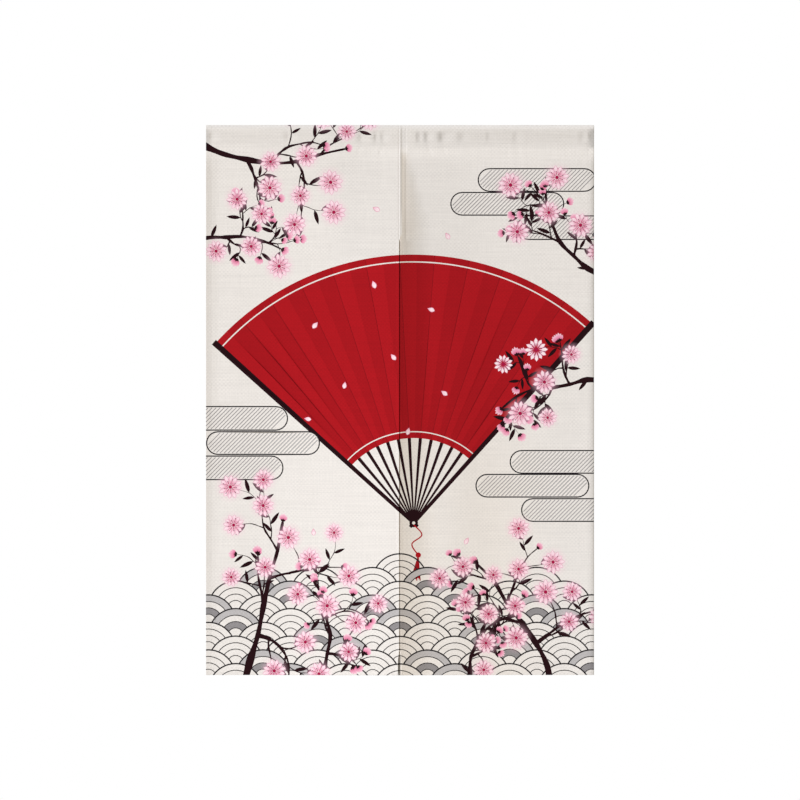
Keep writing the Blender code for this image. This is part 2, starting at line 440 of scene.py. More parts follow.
class Panel:
    """One cloth panel. Side is -1 for the left one and 1 for the right one."""

    def __init__(self, side):
        self.side = side

    def inner_edge(self, w):
        """X of the inner edge. The right panel has its lap only below the sleeve."""
        below = -SLEEVE - np.asarray(w, dtype=float)
        lap = (LAP + SEAM_GAP) * ease(below / LAP_START) - SEAM_GAP
        return lap_line(w) - (lap if self.side > 0 else 0.0)

    def to_edges(self, x, w):
        """Distances to the inner edge, the outer edge, the foot and the sleeve's end."""
        return self.side * (x - self.inner_edge(w)), HALF - self.side * x, w + DROP, SLEEVE - w

    def thickness(self, x, w):
        """Thickness of the cloth, with its folded hems."""
        inner, outer, foot, end = self.to_edges(x, w)
        folded = np.maximum(hemmed(np.minimum(inner, outer), SIDE_HEM), hemmed(foot, FOOT_HEM))
        folded = np.maximum(folded, SLEEVE_HEM_SHARE * hemmed(end, SLEEVE_HEM))
        return CLOTH + (HEM - CLOTH) * folded

    def turned_back(self, x, w):
        """True where a turned hem shows its print on the wrong side."""
        inner, outer, foot, _ = self.to_edges(x, w)
        return ((np.minimum(inner, outer) < SIDE_HEM) | (foot < FOOT_HEM)) & (w < -SLEEVE)

    def edge_fall(self, x, w):
        """How far the rounded edges fall back, from either side of the cloth."""
        inner, outer, foot, end = self.to_edges(x, w)
        fall = rounding(inner, *INNER_ROUND) * (1.0 - sewn_at(w))
        fall = np.maximum(fall, rounding(outer, *(OUTER_ROUND if self.side > 0 else END_ROUND)))
        fall = np.maximum(fall, rounding(foot, *FOOT_ROUND))
        return np.maximum(fall, rounding(end, *END_ROUND))

    def lap_sink(self, x, w):
        """How far the seam's valley, the lap and its crevice sink the cloth."""
        sewn = sewn_at(w)
        beside = self.side * (x - lap_line(w))
        if self.side < 0:
            curl_reach, curl = SLIT_CURL
            return -curl * (1.0 - sewn) * crease(np.maximum(beside, 0.0), curl_reach)
        wider = 1.0 + (CREVICE_AT_FOOT - 1.0) * near_foot(w)
        wall = ease((beside / wider - CREVICE_FLOOR) / (CREVICE_REACH - CREVICE_FLOOR))
        open_sink = CREVICE_DEPTH * (1.0 - wall)
        sewn_sink = (HEM + LAP_CLEARANCE) * (beside < LAP_SNAP)
        return VALLEY_DEPTH * valley(x, w) + sewn * sewn_sink + (1.0 - sewn) * open_sink

    def grooves(self, x, w):
        """How far the stitching sinks the printed side."""
        _, outer, foot, _ = self.to_edges(x, w)
        beside = self.side * (x - lap_line(w))
        sewn = sewn_at(w)
        seam_depth = SEAM_GROOVE_DEPTH[self.side] * ease(-w / CREST_FADE)
        sunk = seam_depth * sewn * groove(x - SEAM_STITCH[self.side])
        sunk = sunk + GROOVE_DEPTH * (1.0 - sewn) * groove(beside - INNER_STITCH)
        sunk = sunk + GROOVE_DEPTH * (groove(outer - OUTER_STITCH) + groove(foot - FOOT_STITCH))
        return sunk + SLEEVE_GROOVE_DEPTH * groove(np.abs(w) - SLEEVE + SLEEVE_STITCH)

    def printed_side(self, x, w):
        sink = self.grooves(x, w) + self.edge_fall(x, w) + self.lap_sink(x, w)
        return skin(x, w) + into_cloth(w) * sink[:, None]

    def wrong_side(self, x, w):
        depth = self.thickness(x, w) - self.edge_fall(x, w) + self.lap_sink(x, w)
        return skin(x, w) + into_cloth(w) * depth[:, None]


def groove(distance):
    """Section of the groove that a line of stitches draws in."""
    return np.exp(-((distance / GROOVE_WIDTH) ** 2))


def normals_of(side, x, w, outward):
    """Surface normals of one side of the cloth, from small steps across and up it."""
    step = 1.2e-4
    across = side(x + step, w) - side(x - step, w)
    up = side(x, w + step) - side(x, w - step)
    normals = np.cross(across, up) * outward
    return normals / np.linalg.norm(normals, axis=1)[:, None]


# Printing: flat shapes in cloth coordinates, the later ones on top

def counterclockwise(outline):
    area = sum(a[0] * b[1] - b[0] * a[1] for a, b in zip(outline, outline[1:] + outline[:1]))
    return outline if area > 0 else outline[::-1]


class Print:
    """The shapes, and for each its colour and, unless it is solid, its cover from 0 to 1."""

    def __init__(self):
        self.outlines = []
        self.paints = []

    def add(self, outline, colour, cover=None):
        self.outlines.append(counterclockwise(outline))
        self.paints.append((colour, cover))

    def colour_at(self, numbers, x, w):
        """Colour of these shapes, laid over one another on cream."""
        solid = [k for k, number in enumerate(numbers) if self.paints[number][1] is None]
        result = np.broadcast_to(CREAM, (len(x), 3)).copy()
        for number in numbers[solid[-1]:] if solid else numbers:
            colour, cover = self.paints[number]
            layer = colour(x, w) if callable(colour) else np.broadcast_to(colour, (len(x), 3))
            share = 1.0 if cover is None else cover(x, w)[:, None]
            result = result + (layer - result) * share
        return result


def fade_from(centre, radius, stops):
    """Colour by distance from a point: stops are pairs of share and colour."""
    shares = [share for share, _ in stops]

    def paint(x, w):
        share = np.hypot(x - centre[0], w - centre[1]) / radius
        return np.stack([np.interp(share, shares, [c[k] for _, c in stops]) for k in range(3)], axis=-1)

    return paint


def glow(centre, radius, most):
    """Cover that fades from the centre to nothing at the radius."""
    return lambda x, w: most * (1.0 - ease(np.hypot(x - centre[0], w - centre[1]) / radius))


def polar(centre, radius, degrees):
    """The point at a distance and direction from the centre."""
    turn = math.radians(degrees)
    return (centre[0] + radius * math.cos(turn), centre[1] + radius * math.sin(turn))


def arc(centre, radius, start, end, step):
    """Points along an arc, given in degrees."""
    count = max(2, math.ceil(abs(math.radians(end - start)) * radius / step))
    return [polar(centre, radius, start + (end - start) * k / count) for k in range(count + 1)]


def band(centre, inner, outer, start, end, step=LINE_STEP):
    """Outline of the part of a ring between two directions."""
    return arc(centre, outer, start, end, step) + arc(centre, inner, end, start, step)


def disc(centre, radius, count):
    return [polar(centre, radius, 360.0 * k / count) for k in range(count)]


def smooth(t, before, start, end, after):
    """A smooth curve's value at share t of the way from start to end."""
    square = (2 * before - 5 * start + 4 * end - after) * t**2
    cube = (3 * start - before - 3 * end + after) * t**3
    return 0.5 * (2 * start + (end - before) * t + square + cube)


def curve(points, step):
    """A smooth line through the points."""
    padded = [points[0], *points, points[-1]]
    line = []
    for a, b, c, d in zip(padded, padded[1:], padded[2:], padded[3:]):
        count = max(1, math.ceil(math.dist(b, c) / step))
        for k in range(count):
            line.append(tuple(smooth(k / count, *values) for values in zip(a, b, c, d)))
    return [*line, points[-1]]


def ribbon(line, width_at):
    """Outline of a brush line whose width depends on the share along it."""
    left, right = [], []
    for k, (x, w) in enumerate(line):
        before, after = line[max(k - 1, 0)], line[min(k + 1, len(line) - 1)]
        length = math.dist(before, after)
        across = (-(after[1] - before[1]) / length, (after[0] - before[0]) / length)
        half = width_at(k / (len(line) - 1)) / 2
        left.append((x + across[0] * half, w + across[1] * half))
        right.append((x - across[0] * half, w - across[1] * half))
    return left + right[::-1]


def blade(base, degrees, length, width, count, belly=1.0):
    """Outline of a petal or leaf, wider near its end with a larger belly."""
    ahead = (math.cos(math.radians(degrees)), math.sin(math.radians(degrees)))
    sides = ([], [])
    for k in range(1, count):
        t = k / count
        half = width / 2 * math.sin(math.pi * t**belly) ** BLADE_ROUNDNESS
        for sign, side in zip((1, -1), sides):
            side.append((base[0] + ahead[0] * length * t - sign * ahead[1] * half,
                         base[1] + ahead[1] * length * t + sign * ahead[0] * half))
    tip = (base[0] + ahead[0] * length, base[1] + ahead[1] * length)
    return [base, *sides[1], tip, *sides[0][::-1]]


# Motifs. A flower's sizes are shares of its radius
BLADE_ROUNDNESS = 0.8
FLOWER_PETALS = 12
FLOWER_STAMENS = 9
EYE = 0.15
PETAL_START = 0.155
PETAL_REACH = 0.845
STAMEN_START = 0.16
GLOW = 1.35
ON_CREAM = ((0.12, CRIMSON), (0.3, PINK), (0.58, PALE_PINK), (1.0, srgb(244, 226, 226)))
ON_RED = ((0.12, CRIMSON), (0.26, PINK), (0.48, PALE_PINK), (0.8, PETAL_TIP))
PETAL_RIM = ((0.2, CRIMSON), (0.6, srgb(222, 150, 174)), (1.0, srgb(230, 178, 194)))


def draw_flower(art, centre, radius, turn):
    """An open aster: long petals round an eye, with dark-tipped stamens."""
    on_red = on_fan(centre)
    if not on_red:
        halo = radius * GLOW
        art.add(disc(centre, halo, 12), srgb(243, 190, 206), glow(centre, halo, 0.75))
    fill = fade_from(centre, radius, ON_RED if on_red else ON_CREAM)
    rim = fade_from(centre, radius, PETAL_RIM)
    for k in range(FLOWER_PETALS):
        degrees = turn + 360.0 * k / FLOWER_PETALS
        base = polar(centre, radius * PETAL_START, degrees)
        length = radius * (PETAL_REACH - 0.1 * ((k * 5) % 3) / 2)
        for share, width, paint in ((1.0, 0.34, rim), (0.95, 0.255, fill)):
            art.add(blade(base, degrees, length * share, radius * width, 4, 1.7), paint)
    for k in range(FLOWER_STAMENS):
        degrees = turn + 9 + 360.0 * k / FLOWER_STAMENS
        tip = polar(centre, radius * (0.48 + 0.12 * (k % 2)), degrees)
        art.add(ribbon([polar(centre, radius * STAMEN_START, degrees), tip], lambda t: 0.0008), CRIMSON)
        art.add(disc(tip, 0.00115, 4), BARK)
    art.add(disc(centre, radius * EYE, 8), CRIMSON)


def draw_bud(art, base, degrees, size):
    """A half-open bud in its dark cup."""
    paint = fade_from(base, size, ((0.1, CRIMSON), (0.45, PINK), (1.0, PALE_PINK)))
    for k, tilt in enumerate((-34, 34, -17, 17, 0)):
        art.add(blade(base, degrees + tilt, size * (0.8 + 0.05 * k), size * 0.36, 4, 1.4), paint)
    for tilt in (-42, 0, 42):
        art.add(blade(base, degrees + tilt, size * 0.4, size * 0.22, 3), BARK)


def draw_leaf(art, base, degrees, length):
    art.add(blade(base, degrees, length, length * 0.27, 5, 0.85), BARK)


def draw_loose_petal(art, base, degrees, size):
    rim = fade_from(base, size, PETAL_RIM)
    fill = fade_from(base, size, ((0.0, PINK), (0.4, PALE_PINK), (1.0, PETAL_TIP)))
    for share, width, paint in ((1.0, 0.6, rim), (0.93, 0.46, fill)):
        art.add(blade(base, degrees, size * share, size * width, 6, 1.3), paint)


# The fan: pivot, direction, half its opening, and its sizes
FAN_PIVOT = (0.03, -0.868)
FAN_AXIS = 93.0
FAN_HALF_OPENING = 45.0
FAN_RADIUS = 0.585
FAN_LEAF_INNER = 0.185
FAN_PLEATS = 24
FAN_STEP = 0.02


def straight(start, end):
    count = max(1, round(math.dist(start, end) / FAN_STEP))
    return [tuple(a + (b - a) * k / count for a, b in zip(start, end)) for k in range(count + 1)]


def on_fan(point):
    """True on the fan's red leaf."""
    x, w = point[0] - FAN_PIVOT[0], point[1] - FAN_PIVOT[1]
    opening = abs(math.degrees(math.atan2(w, x)) - FAN_AXIS)
    return FAN_LEAF_INNER < math.hypot(x, w) < FAN_RADIUS and opening < FAN_HALF_OPENING


def draw_fan(art):
    """A large open folding fan: sticks, pleated leaf, guards and a tasselled cord."""
    right = FAN_AXIS - FAN_HALF_OPENING
    left = FAN_AXIS + FAN_HALF_OPENING
    pleat = (left - right) / FAN_PLEATS

    def spoke(inner, outer, degrees, width, wider, colour):
        line = straight(polar(FAN_PIVOT, inner, degrees), polar(FAN_PIVOT, outer, degrees))
        art.add(ribbon(line, lambda t: width + wider * t), colour)

    for k in range(0, FAN_PLEATS + 1, 2):
        spoke(0.004, FAN_LEAF_INNER + 0.01, right + k * pleat, 0.003, 0.0046, BARK)
    for k in range(FAN_PLEATS):
        start = right + k * pleat
        shape = band(FAN_PIVOT, FAN_LEAF_INNER, FAN_RADIUS, start, start + pleat, 0.03)
        art.add(shape, RED if k % 2 else RED_SHADE)
    for k in range(2, FAN_PLEATS, 2):
        spoke(FAN_LEAF_INNER, FAN_RADIUS, right + k * pleat, 0.0012, 0.0, RED_LINE)
    for radius, half in ((FAN_RADIUS - 0.016, 0.0014), (FAN_LEAF_INNER + 0.014, 0.0012)):
        art.add(band(FAN_PIVOT, radius - half, radius + half, right, left, 0.01), CREAM)
    for degrees in (right, left):
        spoke(-0.012, FAN_RADIUS + 0.004, degrees, 0.0075, 0.006, BARK)
    art.add(disc(FAN_PIVOT, 0.0095, 18), BARK)
    art.add(disc(FAN_PIVOT, 0.0036, 10), CREAM)

    x, z = FAN_PIVOT
    bends = ((0.0, 0.004), (0.018, 0.026), (-0.004, 0.046), (0.01, 0.07))
    cord = curve([(x + aside, z - down) for aside, down in bends], 0.005)
    art.add(ribbon(cord, lambda t: 0.0028), RED)
    knot = cord[-1]
    for k in range(9):
        strand = [knot, polar(knot, 0.05 + 0.003 * (k % 3), 264 + 2.6 * (k - 4))]
        art.add(ribbon(strand, lambda t: 0.0014 + 0.0009 * t), RED if k % 2 else RED_LINE)
    art.add(disc(knot, 0.006, 12), RED)


# The waves: radius, top row, and each ring's share of the radius and line width
WAVE_RADIUS = 0.06
WAVE_TOP_ROW = -0.935
WAVE_RINGS = ((0.3, 0.0018), (0.53, 0.0018), (0.76, 0.0019), (1.0, 0.003))


def wave_top(x):
    """Height that the waves reach at x, in two swells."""
    long_swell = 0.03 * math.sin(2 * math.pi * (x + 0.2) / 0.66)
    short_swell = 0.014 * math.sin(2 * math.pi * x / 0.27 + 1.0)
    return -0.968 + long_swell + short_swell


def wave_shows_from(ring):
    """The lowest angle at which a ring clears the waves in front of it."""
    degrees = 90.0
    while degrees > -20.0:
        x, z = polar((0.0, 0.0), ring, degrees)
        if math.hypot(x - 1.0, z + 0.5) < 1.0 or math.hypot(x, z + 1.0) < 1.0:
            break
        degrees -= 0.5
    return degrees


def wave_centres():
    """Row, column and centre of each wave, from the top row to the foot."""
    rows = math.ceil((WAVE_TOP_ROW + DROP) / (WAVE_RADIUS / 2)) + 3
    for row in range(rows):
        z = WAVE_TOP_ROW - row * WAVE_RADIUS / 2
        for column in range(-5, 6):
            x = (2 * column + row % 2) * WAVE_RADIUS
            if z + WAVE_RADIUS * 0.6 < wave_top(x):
                yield row, column, (x, z)


def draw_waves(art):
    """Overlapping waves of rings, the traditional blue-sea pattern, in ink lines."""
    for row, column, centre in wave_centres():
        if (row + 2 * column) % 3:
            continue
        for outer, inner, colour in ((0.53, 0.3, GREY), (1.0, 0.76, PALE_GREY)):
            low = wave_shows_from((outer + inner) / 2) - 1
            art.add(band(centre, inner * WAVE_RADIUS, outer * WAVE_RADIUS, low, 180 - low), colour)
    for row, column, centre in wave_centres():
        for ring, width in WAVE_RINGS:
            low = wave_shows_from(ring) - 1
            radius = ring * WAVE_RADIUS
            art.add(band(centre, radius - width / 2, radius + width / 2, low, 180 - low, 0.0085), INK)


# Mist bands: middle x, middle height, half length, half height
MISTS = (
    (0.3, -0.12, 0.13, 0.026),
    (0.235, -0.172, 0.125, 0.026),
    (0.385, -0.224, 0.13, 0.027),
    (-0.375, -0.64, 0.13, 0.027),
    (-0.3, -0.694, 0.125, 0.026),
    (-0.385, -0.748, 0.13, 0.027),
    (0.36, -0.735, 0.12, 0.026),
    (0.29, -0.787, 0.125, 0.026),
    (0.395, -0.84, 0.13, 0.026),
)
HATCH_STEP = 0.0088
HATCH_WIDTH = 0.0017
MIST_LINE = 0.0027


def draw_mist(art, x, z, half_length, half_height):
    """A round-ended band of mist in an ink line, hatched with grey strokes."""
    right, left = (x + half_length - half_height, z), (x - half_length + half_height, z)

    def stadium(radius):
        return arc(right, radius, -90, 90, 0.008) + arc(left, radius, 90, 270, 0.008)

    art.add(stadium(half_height), INK)
    inset = half_height - MIST_LINE
    art.add(stadium(inset), CREAM)
    for k in range(1, int(2 * half_length / HATCH_STEP)):
        foot = x - half_length + k * HATCH_STEP
        stroke = []
        for t in range(-20, 21):
            point = (foot + t * inset / 20, z + t * inset / 20)
            over = abs(point[0] - x) - (half_length - half_height)
            if math.hypot(max(0.0, over), point[1] - z) < inset - 0.001:
                stroke.append(point)
        if len(stroke) > 5:
            art.add(ribbon([stroke[0], stroke[-1]], lambda t: HATCH_WIDTH), GREY)


# Stems: start, direction in degrees, length, thickness, how it bends, seed
STEMS = (
    ((-0.44, -0.04), 335, 0.33, 0.015, 9, 3),
    ((-0.445, -0.25), 20, 0.19, 0.011, -10, 11),
    ((0.45, -0.33), 170, 0.25, 0.0125, -8, 7),
    ((0.45, -0.56), 152, 0.24, 0.012, 8, 2),
    ((0.33, -1.235), 80, 0.33, 0.016, 9, 6),
    ((0.15, -1.23), 105, 0.21, 0.0115, -12, 8),
    ((-0.345, -1.235), 75, 0.38, 0.0165, 9, 4),
    ((-0.18, -1.23), 60, 0.24, 0.012, 12, 9),
)
STEM_JOINTS = 6
FLOWER_RADIUS = (0.021, 0.029)
FLOWERS_APART = 0.056


class Spray:
    """Stems with their leaves, buds and flowers, kept in layers."""

    def __init__(self):
        self.stems, self.leaves, self.buds, self.flowers = [], [], [], []

    def grow(self, chance, start, degrees, length, thick, bend, order):
        """Adds a stem, and the side stems that leave it in turn to each side."""
        points = [start]
        joints = STEM_JOINTS - order
        for k in range(joints):
            degrees += bend + chance.uniform(-15, 15)
            points.append(polar(points[-1], length / joints, degrees))
        tip = thick * 0.34
        self.stems.append((points, thick, tip))
        for k in range(1, joints):
            side = 1 if (k + order) % 2 else -1
            here = thick + (tip - thick) * k / joints
            away = degrees - bend * (joints - k) + side * chance.uniform(38, 60)
            if order < 2 and length > 0.06 and k + order > 1:
                shorter = length * chance.uniform(0.3, 0.48)
                self.grow(chance, points[k], away, shorter, here * 0.72, -bend, order + 1)
            elif chance.random() < 0.6:
                self.leaves.append((points[k], away, chance.uniform(0.024, 0.034)))
        self.end_with(chance, points[-1], degrees)

    def end_with(self, chance, point, degrees):
        """Ends a stem in a flower where there is room, or else in a bud."""
        radius = chance.uniform(*FLOWER_RADIUS)
        centre = polar(point, radius * 0.5, degrees)
        if all(math.dist(centre, other[0]) > FLOWERS_APART for other in self.flowers):
            self.flowers.append((centre, radius, chance.uniform(0, 27)))
        else:
            self.buds.append((point, degrees, chance.uniform(0.016, 0.021)))


def draw_stem(art, points, thick, thin):
    """A stem that tapers, its brush width swelling at the knots."""
    line = curve(points, 0.012)

    def width(t):
        knots = 1.0 + 0.2 * math.sin(17.0 * t + points[0][0] * 40) + 0.12 * math.sin(41.0 * t)
        return (thick + (thin - thick) * t**0.8) * knots

    art.add(ribbon(line, width), BARK)


# Loose petals: base, direction, size
LOOSE_PETALS = (
    ((-0.06, -0.34), 290, 0.018), ((0.06, -0.4), 340, 0.017), ((-0.18, -0.43), 230, 0.018),
    ((-0.02, -0.5), 310, 0.017), ((-0.12, -0.56), 260, 0.016), ((0.09, -0.58), 325, 0.017),
    ((-0.21, -0.64), 350, 0.016), ((0.02, -0.66), 255, 0.017), ((0.1, -0.235), 300, 0.017),
    ((-0.06, -0.18), 335, 0.018), ((-0.19, -0.88), 275, 0.016), ((0.15, -0.9), 240, 0.017),
)


def make_print():
    art = Print()
    draw_fan(art)
    for mist in MISTS:
        draw_mist(art, *mist)
    draw_waves(art)
    spray = Spray()
    for start, degrees, length, thick, bend, seed in STEMS:
        spray.grow(random.Random(seed), start, degrees, length, thick, bend, 0)
    for draw, motifs in (
        (draw_stem, spray.stems), (draw_leaf, spray.leaves), (draw_bud, spray.buds),
        (draw_flower, spray.flowers), (draw_loose_petal, LOOSE_PETALS),
    ):
        for motif in motifs:
            draw(art, *motif)
    return art


# Cloth meshes

def spaced(start, end, step):
    """Even values from start to end, about a step apart."""
    return list(np.linspace(start, end, max(2, round(abs(end - start) / step) + 1)))


def heights():
    """Heights from the foot to the sleeve's end, closer together where it is sewn."""
    near_end = (SEAM_END - 0.006, SEAM_END + 0.006)
    rows = spaced(-DROP, near_end[0], LINE_STEP) + spaced(*near_end, 0.001)[1:]
    return rows + spaced(near_end[1], SLEEVE, SEWN_STEP)[1:]


def cloth_rows():
    """Heights of the mesh's grid lines, closer together round the sleeve."""
    rows = spaced(-DROP, SLEEVE_GRID_FROM, GRID)
    rows += spaced(SLEEVE_GRID_FROM, -SLEEVE, 0.004)
    turn = [SLEEVE * (k / SLEEVE_ROWS) ** 2 for k in range(SLEEVE_ROWS + 1)]
    ends = (-SLEEVE + SLEEVE_STITCH, SLEEVE - SLEEVE_STITCH)
    return sorted({*rows, *(-t for t in turn), *turn, *ends})


def panel_outline(panel):
    rows = heights()
    inner = [(float(panel.inner_edge(w)), w) for w in rows]
    outer = [(panel.side * HALF, w) for w in rows]
    foot = [(x, -DROP) for x in spaced(inner[0][0], outer[0][0], LINE_STEP)[1:-1]]
    top = [(x, SLEEVE) for x in spaced(inner[-1][0], outer[-1][0], LINE_STEP)[1:-1]]
    return counterclockwise(inner + top + outer[::-1] + foot[::-1])


# Distances at which mesh lines follow an edge, the lap, the valley and a line of
# stitches, and the heights at which they cross the sleeve
EDGE_LINES = (0.0003, 0.001, 0.0022, SIDE_HEM, SIDE_HEM + HEM_STEP)
LAP_LINES_LEFT = (0.0, 0.0012, 0.0026, 0.0044)
LAP_LINES_RIGHT = (-0.001, 0.0, 0.0001, 0.001, 0.0018, 0.0028, 0.0044)
VALLEY_LINES = (-0.0014, 0.0, 0.0014, 0.0034)
STITCH_LINES = (-0.001, 0.0, 0.001)
SLEEVE_LINES = (
    *(-SLEEVE + d for d in (-0.0012, 0.0, 0.001, 0.002)),
    -0.0034, -0.0009, 0.0, 0.0009, 0.0034, SLEEVE - SLEEVE_HEM, SLEEVE - 0.001,
)


def guide_lines(panel):
    """Lines along hems, grooves and rounded edges that the mesh has to follow."""
    side = panel.side
    rows = heights()
    sewn_rows = [w for w in rows if w > SEAM_END - SEAM_END_REACH]
    lap_lines = LAP_LINES_RIGHT if side > 0 else LAP_LINES_LEFT
    beside_lap = (*lap_lines, *(INNER_STITCH + d for d in STITCH_LINES))
    from_outer = (*EDGE_LINES, *(OUTER_STITCH + d for d in STITCH_LINES))
    from_foot = (*EDGE_LINES[:3], FOOT_HEM, FOOT_HEM + HEM_STEP, *(FOOT_STITCH + d for d in STITCH_LINES))

    def upright(x_at, distances):
        return [[(float(x_at(w)) + side * d, w) for w in rows] for d in distances]

    lines = upright(lap_line, [d for d in beside_lap if d or side > 0])
    lines += upright(panel.inner_edge, EDGE_LINES[:2] + EDGE_LINES[3:])
    lines += [[(SEAM_STITCH[side] + d, w) for w in sewn_rows] for d in STITCH_LINES]
    if side > 0:
        lines += [[(VALLEY_X + d, w) for w in sewn_rows] for d in VALLEY_LINES]
    lines += upright(lambda w: side * HALF, [-d for d in from_outer])
    lines += [[(side * x, -DROP + d) for x in spaced(0.006, HALF, LINE_STEP)] for d in from_foot]
    for w in SLEEVE_LINES:
        lines.append([(x, w) for x in spaced(float(panel.inner_edge(w)), side * HALF, LINE_STEP)])
    return lines


def triangulate(panel, art):
    """Cuts a panel's cloth along every printed outline. Returns the points, the triangles
    and, for each triangle, the numbers of the shapes that cover it."""
    points, faces, edges = [], [], []

    def put(line):
        first = len(points)
        points.extend(Vector(p) for p in line)
        return list(range(first, len(points)))

    faces.append(put(panel_outline(panel)))
    shape_of = [None]
    margin = 0.01  # past the middle, to cover the lap
    for number, shape in enumerate(art.outlines):
        reach = [panel.side * x for x, _ in shape]
        if max(reach) > -margin and min(reach) < HALF:
            faces.append(put(shape))
            shape_of.append(number)
    for line in guide_lines(panel):
        numbers = put(line)
        edges.extend(zip(numbers, numbers[1:]))
    for w in cloth_rows():
        step = SLEEVE_GRID if w > SLEEVE_GRID_FROM else GRID
        first = abs(float(panel.inner_edge(w))) + 0.006
        points.extend(Vector((panel.side * x, w)) for x in spaced(first, HALF - 0.004, step))

    verts, _, tris, _, _, owners = delaunay_2d_cdt(points, edges, faces, 0, 1e-7, True)
    inside = [k for k, owner in enumerate(owners) if 0 in owner]
    covers = [tuple(shape_of[n] for n in sorted(owners[k]) if n) for k in inside]
    return np.array([v[:] for v in verts]), np.array([tris[k] for k in inside]), covers


def strip_shade(x, w, top, bottom, fade, shares):
    """A shade that varies across the cloth, within a strip of it."""
    return np.interp(x, *zip(*shares)) * ease((top - w) / fade + 0.5) * ease((w - bottom) / fade + 0.5)


def painted_shade(x, w):
    """Painted shade, as a factor on the cloth's colour: warm on the facet and the patch below it, cool at
    the crest, and in the puckers' creases, the strips and beside the lap near the foot.
    """
    # Painted warm shade on the creased facet and on the patch below it
    middle, left, right, start, full, share = LOW_PAINTED_SHADE
    patch = share * bell(x - middle, left, right) * ease((start - w) / (start - full))
    warm_shade = np.maximum(facet(x, w)[0], patch)[:, None] * np.array(WARM_PAINTED_SHADE)
    # Cool painted shade along the sleeve's crest
    crest_shade = np.clip(1.0 - np.abs(w) / CREST_REACH, 0.0, 1.0)[:, None] ** 0.5 * np.array(CREST_PAINTED_SHADE)
    dim = pucker_shade(x, w)
    for strip in STRIP_SHADES:
        dim = dim + strip_shade(x, w, *strip)
    # Painted shadow beside the lap near the foot
    beside = x - lap_line(w)
    in_gap = (beside >= 0.0) * ease((FOOT_GAP - beside) / (FOOT_GAP_SOFT * FOOT_GAP))
    dim = dim + FOOT_GAP_SHADE * near_foot(w) * in_gap
    return (1.0 - warm_shade) * (1.0 - crest_shade) * (1.0 - dim)[:, None]


def colours_of(flat, triangles, covers, art):
    """Printed colour times the painted shade, at each corner of each triangle."""
    colours = np.empty((len(triangles), 3, 3))
    groups = {}
    for k, cover in enumerate(covers):
        groups.setdefault(cover, []).append(k)
    for cover, chosen in groups.items():
        corners = flat[triangles[chosen].ravel()]
        x, w = corners[:, 0], corners[:, 1]
        colours[chosen] = (art.colour_at(cover, x, w) * painted_shade(x, w)).reshape(-1, 3, 3)
    return colours


def rim_of(triangles):
    """Directed edges that only one triangle has."""
    edges = np.concatenate([triangles[:, [0, 1]], triangles[:, [1, 2]], triangles[:, [2, 0]]])
    present = {(a, b) for a, b in edges.tolist()}
    return [(a, b) for a, b in present if (b, a) not in present]


def add_object(name, data):
    obj = bpy.data.objects.new(name, data)
    bpy.context.scene.collection.objects.link(obj)
    return obj


def add_mesh(name, points, faces, colours, cloth_map, normals=None):
    """An object whose mesh has printed colours with painted shade, and flat cloth coordinates."""
    mesh = bpy.data.meshes.new(name)
    mesh.from_pydata(points.tolist(), [], faces.tolist())
    # The colour layer holds the print times its painted shade
    layer = mesh.color_attributes.new("print", "FLOAT_COLOR", "CORNER")
    layer.data.foreach_set("color", np.concatenate([colours, np.ones((len(colours), 1))], axis=1).ravel())
    mesh.uv_layers.new(name="cloth").data.foreach_set("uv", cloth_map.ravel())
    mesh.shade_smooth()
    if normals is not None:
        mesh.normals_split_custom_set_from_vertices(normals.tolist())
    return add_object(name, mesh)


def make_cloth(name, panel, art):
    """One panel as a closed thin sheet: printed side, wrong side and the rim. Returns
    it and a way to look up the printed colour, with its painted shade, at a flat point."""
    flat, triangles, covers = triangulate(panel, art)
    used, renumbered = np.unique(triangles, return_inverse=True)
    flat, triangles = flat[used], renumbered.reshape(-1, 3)
    x, w = flat[:, 0], flat[:, 1]

    count = len(flat)
    points = np.concatenate([panel.printed_side(x, w), panel.wrong_side(x, w)])
    rim = rim_of(triangles)
    walls = [(b, a, a + count) for a, b in rim] + [(b, a + count, b + count) for a, b in rim]
    faces = np.concatenate([triangles, triangles[:, ::-1] + count, np.array(walls)])

    front = colours_of(flat, triangles, covers, art)
    middles = flat[triangles].mean(axis=1)
    turned = panel.turned_back(middles[:, 0], middles[:, 1])[:, None, None]
    back = np.where(turned, front[:, ::-1], CREAM * WRONG_SIDE + (front[:, ::-1] - CREAM) * GHOST)
    print_and_shade_by_corner = {}
    for corners, print_and_shade in zip(triangles.tolist(), front):
        print_and_shade_by_corner.update(zip(corners, print_and_shade))
    edge = np.array([[print_and_shade_by_corner[a], print_and_shade_by_corner[a], print_and_shade_by_corner[b]] for a, b in rim + rim])
    colours = np.concatenate([front, back, edge]).reshape(-1, 3)
    cloth_map = np.concatenate([flat, flat])[faces.ravel()]
    outward = [normals_of(panel.printed_side, x, w, 1.0), normals_of(panel.wrong_side, x, w, -1.0)]
    obj = add_mesh(name, points, faces, colours, cloth_map, np.concatenate(outward))

    tree = BVHTree.FromPolygons([(*p, 0.0) for p in flat.tolist()], triangles.tolist())

    def print_and_shade_at(point):
        return front[tree.find_nearest((*point, 0.0))[2]].mean(axis=0)

    return obj, print_and_shade_at


# Sewing threads

def stitched_lines(panel):
    """The lines of stitches on a panel's printed side, as flat points."""
    side = panel.side
    rows = np.arange(-DROP + 0.003, SLEEVE - 0.003, STITCH_PITCH)
    inner = abs(SEAM_STITCH[side]) + 0.003
    across = np.arange(inner, HALF - 0.003, STITCH_PITCH)
    foot = np.arange(0.01, HALF - 0.003, STITCH_PITCH)
    yield [(float(lap_line(w)) + side * INNER_STITCH, w) for w in rows if w < SEAM_END]
    yield [(SEAM_STITCH[side], w) for w in rows if w > SEAM_END]
    yield [(side * (HALF - OUTER_STITCH), w) for w in rows]
    yield [(side * x, -DROP + FOOT_STITCH) for x in foot]
    yield [(side * x, -SLEEVE + SLEEVE_STITCH) for x in across]
    yield [(side * x, SLEEVE - SLEEVE_STITCH) for x in across]


